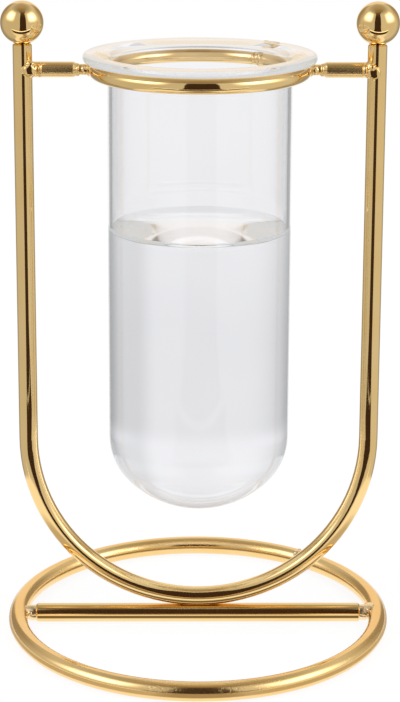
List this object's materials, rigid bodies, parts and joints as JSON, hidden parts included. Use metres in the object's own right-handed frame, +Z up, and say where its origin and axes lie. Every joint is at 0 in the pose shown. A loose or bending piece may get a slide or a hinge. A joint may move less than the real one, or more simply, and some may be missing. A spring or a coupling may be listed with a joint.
{
  "type": "test tube vase",
  "caption": "Glass test tube vase with a flared lip, hung in a wire ring between the ball-topped uprights of a U-shaped gold-plated stand on a round base ring.",
  "frame": {"origin": "centre of the base ring on the surface that the stand rests on", "axes": "+Z up along the tube's axis; +X across the stand, towards the right-hand upright; -Y is the front"},
  "size_m": [0.103, 0.103, 0.1699],
  "materials": {
    "gold_plate": "mirror polished gold plate on steel wire",
    "clear_glass": "clear blown glass with a fire-polished lip"
  },
  "bodies": {
    "stand": {"base_ring": "gold_plate", "base_crossbar": "gold_plate", "u_frame": "gold_plate", "finial_left": "gold_plate", "finial_right": "gold_plate", "holder_ring": "gold_plate", "arm_left": "gold_plate", "arm_right": "gold_plate"},
    "tube": {"glass_tube": "clear_glass"}
  },
  "joints": [
    {"name": "tube_lift", "type": "slide", "parent": "stand", "child": "tube", "axis": [0, 0, 1], "range_m": [0, 0.14]}
  ]
}
